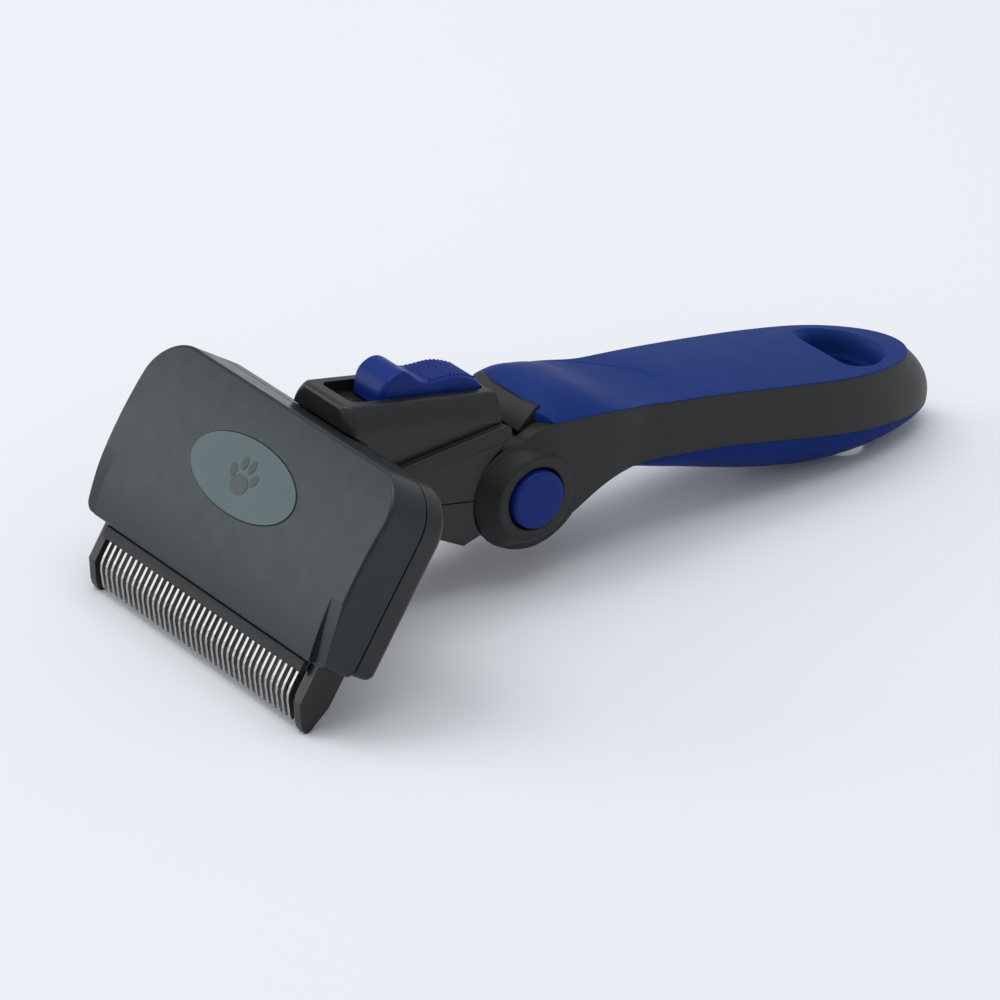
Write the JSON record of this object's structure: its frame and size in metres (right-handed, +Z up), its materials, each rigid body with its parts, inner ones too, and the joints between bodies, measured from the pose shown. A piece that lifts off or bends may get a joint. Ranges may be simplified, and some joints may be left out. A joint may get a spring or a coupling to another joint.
{
  "type": "pet deshedding tool",
  "caption": "Deshedding comb for dogs and cats: wide curved-tooth comb head with a thumb-slide hair ejector, on a locking pivot neck and a contoured two-tone grip",
  "frame": {"origin": "centre of the bounding box footprint, on the table that the tool rests on", "axes": "+X runs along the grip away from the comb head, +Y across the tool, +Z up; the near button looks towards -Y"},
  "size_m": [0.2308, 0.104, 0.0641],
  "materials": {
    "slate_plastic": "satin dark slate",
    "badge_enamel": "satin grey green",
    "black_plastic": "satin black",
    "band_plastic": "soft satin black",
    "strip_plastic": "finely speckled grey",
    "comb_steel": "ground stainless steel",
    "screw_steel": "zinc plated",
    "spring_steel": "bright wire",
    "white_acetal": "natural acetal",
    "blue_rubber": "matte royal blue",
    "blue_plastic": "satin royal blue"
  },
  "bodies": {
    "grip": {"handle_core": "band_plastic", "hinge_block": "black_plastic", "grip_top": "blue_rubber", "grip_bottom": "blue_rubber", "handle_screws": "screw_steel"},
    "head": {"front_cover": "slate_plastic", "badge": "badge_enamel", "back_shell": "black_plastic", "head_screws": "screw_steel", "mount_screws": "screw_steel", "blade_frame": "black_plastic", "comb_blade": "comb_steel", "blade_screws": "screw_steel", "rocker_pin": "screw_steel", "neck_housing": "black_plastic", "neck_body": "black_plastic", "neck_bottom_cover": "black_plastic", "neck_screws": "screw_steel", "neck_trim": "band_plastic", "slider_springs": "spring_steel", "lock_spring_near": "spring_steel", "lock_spring_far": "spring_steel"},
    "thumb_slider": {"slider": "blue_plastic", "slider_carriage": "white_acetal", "carriage_screws": "screw_steel"},
    "rocker_arm": {"rocker": "white_acetal"},
    "ejector": {"ejector_bar": "strip_plastic", "ejector_carrier": "white_acetal"},
    "near_button": {"lock_button_near": "blue_plastic"},
    "far_button": {"lock_button_far": "blue_plastic"}
  },
  "joints": [
    {"name": "neck_tilt", "type": "hinge", "parent": "grip", "child": "head", "pos_m": [-0.02412, 0, 0.02431], "axis": [0, -1, 0], "range_deg": [0, 60]},
    {"name": "slider_push", "type": "slide", "parent": "head", "child": "thumb_slider", "axis": [-0.981, 0, 0.1942], "range_m": [0, 0.009], "stiffness_N_per_m": 350, "springref_m": -0.004, "deforming": ["slider_springs"]},
    {"name": "rocker_turn", "type": "hinge", "parent": "head", "child": "rocker_arm", "pos_m": [-0.06795, 0, 0.03462], "axis": [0, -1, 0], "range_deg": [0, 31.42]},
    {"name": "ejector_slide", "type": "slide", "parent": "head", "child": "ejector", "axis": [-0.5476, 0, -0.8368], "range_m": [0, 0.0065]},
    {"name": "near_button_push", "type": "slide", "parent": "head", "child": "near_button", "axis": [0, 1, 0], "range_m": [0, 0.0026], "stiffness_N_per_m": 900, "springref_m": -0.004, "deforming": ["lock_spring_near"]},
    {"name": "far_button_push", "type": "slide", "parent": "head", "child": "far_button", "axis": [0, -1, 0], "range_m": [0, 0.0026], "stiffness_N_per_m": 900, "springref_m": -0.004, "deforming": ["lock_spring_far"]}
  ],
  "couplings": [
    {"joint": "rocker_turn", "follows": "slider_push", "rad_per_m": 60.925},
    {"joint": "ejector_slide", "follows": "slider_push", "ratio": 0.72222}
  ]
}
